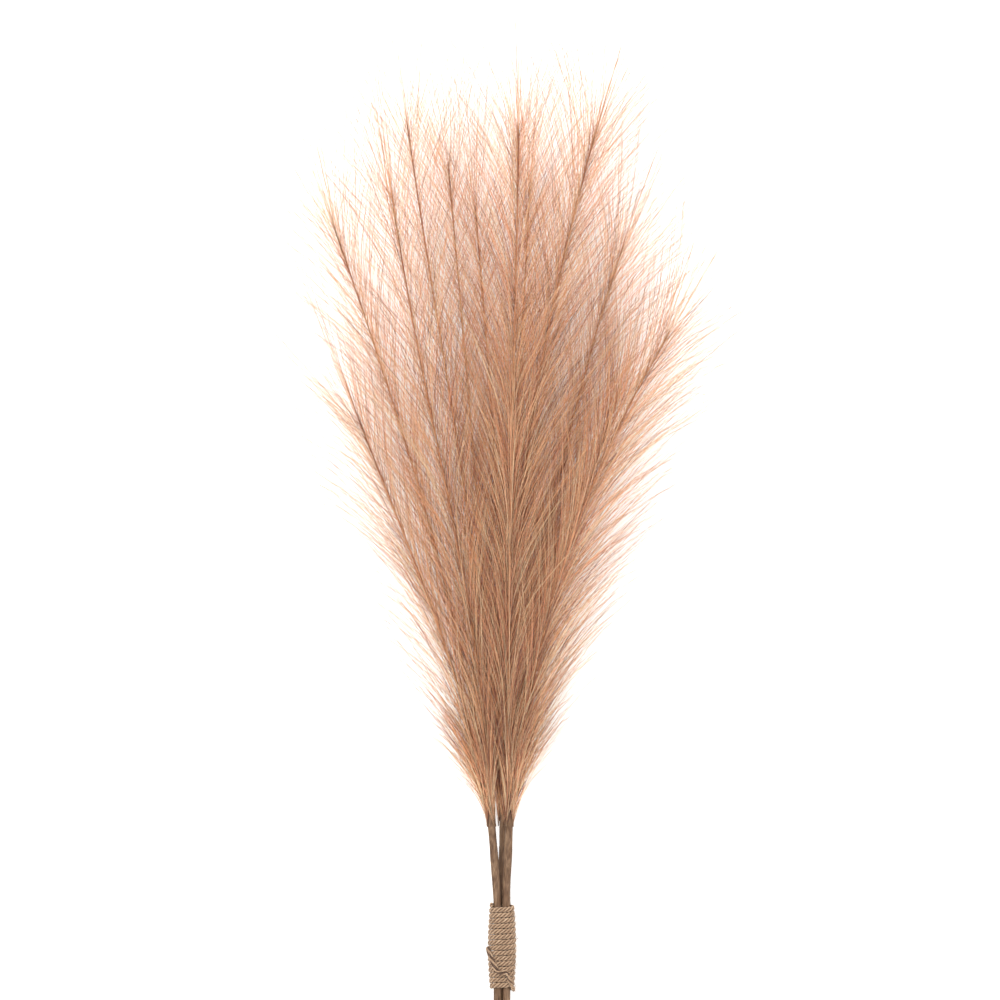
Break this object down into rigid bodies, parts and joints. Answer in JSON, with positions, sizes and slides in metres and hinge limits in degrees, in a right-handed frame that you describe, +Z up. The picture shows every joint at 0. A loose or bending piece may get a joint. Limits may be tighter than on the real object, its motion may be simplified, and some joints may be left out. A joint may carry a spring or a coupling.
{
  "type": "bundle of dried pampas grass",
  "caption": "Bundle of dried pampas grass lying down: feathery tan plumes on slender stalks that fork from brown stems, bound near the cut ends with jute twine.",
  "frame": {"origin": "centre of the bounding box's base, on the flat surface that the bundle lies on", "axes": "+Y from the cut stem ends to the plume tips; +Z up from the surface; +X to the right when looking down with the tips at the top"},
  "size_m": [0.3366, 0.71, 0.1205],
  "materials": {
    "stem": "matte",
    "stalk": "matte",
    "plume_hair": "matte",
    "jute_twine": "matte"
  },
  "bodies": {
    "root": {"stem_left": "stem", "stem_right": "stem", "stem_back": "stem", "stalk_outer_left": "stalk", "stalk_low_left": "stalk", "stalk_upper_left": "stalk", "stalk_tall_left": "stalk", "stalk_centre": "stalk", "stalk_tall_right": "stalk", "stalk_mid_right": "stalk", "stalk_outer_right": "stalk", "stalk_back_left": "stalk", "stalk_back_middle": "stalk", "stalk_back_centre": "stalk", "stalk_back_right": "stalk", "plume_outer_left": "plume_hair", "plume_low_left": "plume_hair", "plume_upper_left": "plume_hair", "plume_tall_left": "plume_hair", "plume_centre": "plume_hair", "plume_tall_right": "plume_hair", "plume_mid_right": "plume_hair", "plume_outer_right": "plume_hair", "plume_back_left": "plume_hair", "plume_back_middle": "plume_hair", "plume_back_centre": "plume_hair", "plume_back_right": "plume_hair", "binding_twine": "jute_twine"}
  },
  "joints": []
}
